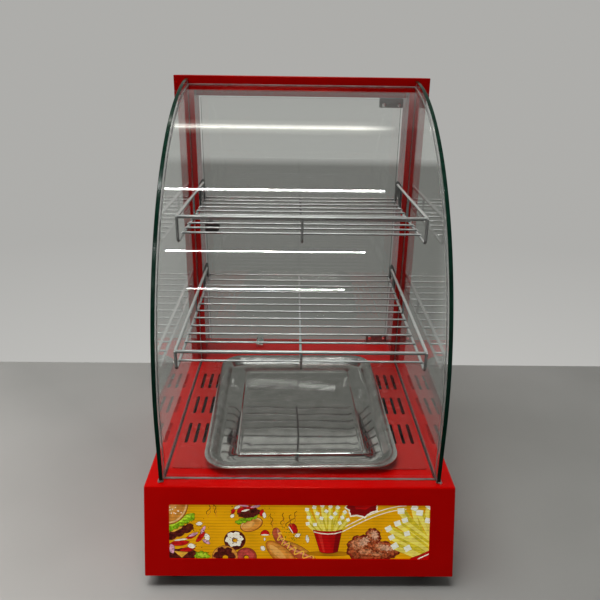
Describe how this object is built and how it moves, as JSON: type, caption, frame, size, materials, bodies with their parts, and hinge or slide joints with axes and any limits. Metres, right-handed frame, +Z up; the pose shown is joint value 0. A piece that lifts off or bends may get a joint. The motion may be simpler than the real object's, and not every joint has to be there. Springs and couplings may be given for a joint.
{
  "type": "heated food display cabinet",
  "caption": "Countertop heated food display cabinet with curved glass front, wire shelves, steel tray, lit front panel and hinged glass rear door.",
  "frame": {"origin": "centre of the bounding box's footprint, on the table that the feet stand on", "axes": "+Z up, the tallest way; +X to the customer's right, the narrowest way; -Y is the curved glass front, +Y the door side"},
  "size_m": [0.38, 0.481, 0.592],
  "materials": {
    "red_paint": "gloss red powder coat",
    "glass": "clear float glass, greenish edge",
    "chrome": "bright plated wire",
    "stainless": "drawn and lightly brushed",
    "steel": "dull",
    "zinc": "galvanised sheet",
    "rubber": "matt black",
    "black_plastic": "moulded",
    "white_plastic": "moulded",
    "lightbox": null,
    "lamp": "frosted tube",
    "red_lens": "translucent red",
    "brass": "drawn capillary and bulb",
    "cable": "heat-proof sleeve"
  },
  "bodies": {
    "cabinet": {"base_shell": "red_paint", "base_bottom_plate": "zinc", "foot_front_left": "rubber", "foot_front_right": "rubber", "foot_rear_left": "rubber", "foot_rear_right": "rubber", "graphic_panel": "lightbox", "lamp_tube": "lamp", "lamp_holder_left": "white_plastic", "lamp_holder_right": "white_plastic", "lamp_driver": "white_plastic", "lamp_partition": "zinc", "heating_element": "steel", "heater_bracket_front": "zinc", "heater_bracket_rear": "zinc", "heat_shield": "zinc", "floor_plate": "red_paint", "side_glass_left": "glass", "side_glass_right": "glass", "front_glass": "glass", "post_left": "red_paint", "post_right": "red_paint", "header_cover": "red_paint", "header_plate": "red_paint", "shelf_lug_upper_left": "chrome", "shelf_lug_upper_right": "chrome", "shelf_lug_lower_left": "chrome", "shelf_lug_lower_right": "chrome", "pivot_bush_top": "black_plastic", "pivot_bush_bottom": "black_plastic", "door_catch_magnet": "black_plastic", "control_panel": "stainless", "power_switch_housing": "black_plastic", "lamp_switch_housing": "black_plastic", "thermostat_body": "black_plastic", "thermostat_sensor": "brass", "pilot_lamp": "red_lens", "cable_gland": "black_plastic", "terminal_block": "white_plastic", "heater_lead": "cable", "lamp_lead": "cable"},
    "door": {"door_glass": "glass", "door_hinge_top": "stainless", "door_hinge_bottom": "stainless", "door_hinge_top_screw_inner": "steel", "door_hinge_top_screw_outer": "steel", "door_hinge_bottom_screw_inner": "steel", "door_hinge_bottom_screw_outer": "steel", "door_handle": "black_plastic", "door_strike": "steel"},
    "tray": {"food_tray": "stainless"},
    "upper_shelf": {"shelf_upper": "chrome"},
    "lower_shelf": {"shelf_lower": "chrome"},
    "power_rocker": {"power_switch_rocker": "red_lens"},
    "lamp_rocker": {"lamp_switch_rocker": "red_lens"},
    "knob": {"thermostat_knob": "black_plastic"}
  },
  "joints": [
    {"name": "door_swing", "type": "hinge", "parent": "cabinet", "child": "door", "pos_m": [0.155, 0.209, 0.344], "axis": [0, 0, -1], "range_deg": [0, 110]},
    {"name": "thermostat_turn", "type": "hinge", "parent": "cabinet", "child": "knob", "pos_m": [0.06, 0.2251, 0.072], "axis": [0, -1, 0], "range_deg": [0, 300]},
    {"name": "power_switch_tip", "type": "hinge", "parent": "cabinet", "child": "power_rocker", "pos_m": [-0.078, 0.226, 0.072], "axis": [0, 0, 1], "range_deg": [0, 20]},
    {"name": "lamp_switch_tip", "type": "hinge", "parent": "cabinet", "child": "lamp_rocker", "pos_m": [-0.038, 0.226, 0.072], "axis": [0, 0, 1], "range_deg": [0, 20]},
    {"name": "tray_lift", "type": "slide", "parent": "cabinet", "child": "tray", "axis": [0, 0, 1], "range_m": [0, 0.06]},
    {"name": "upper_shelf_lift", "type": "slide", "parent": "cabinet", "child": "upper_shelf", "axis": [0, 0, 1], "range_m": [0, 0.01]},
    {"name": "lower_shelf_lift", "type": "slide", "parent": "cabinet", "child": "lower_shelf", "axis": [0, 0, 1], "range_m": [0, 0.01]}
  ]
}
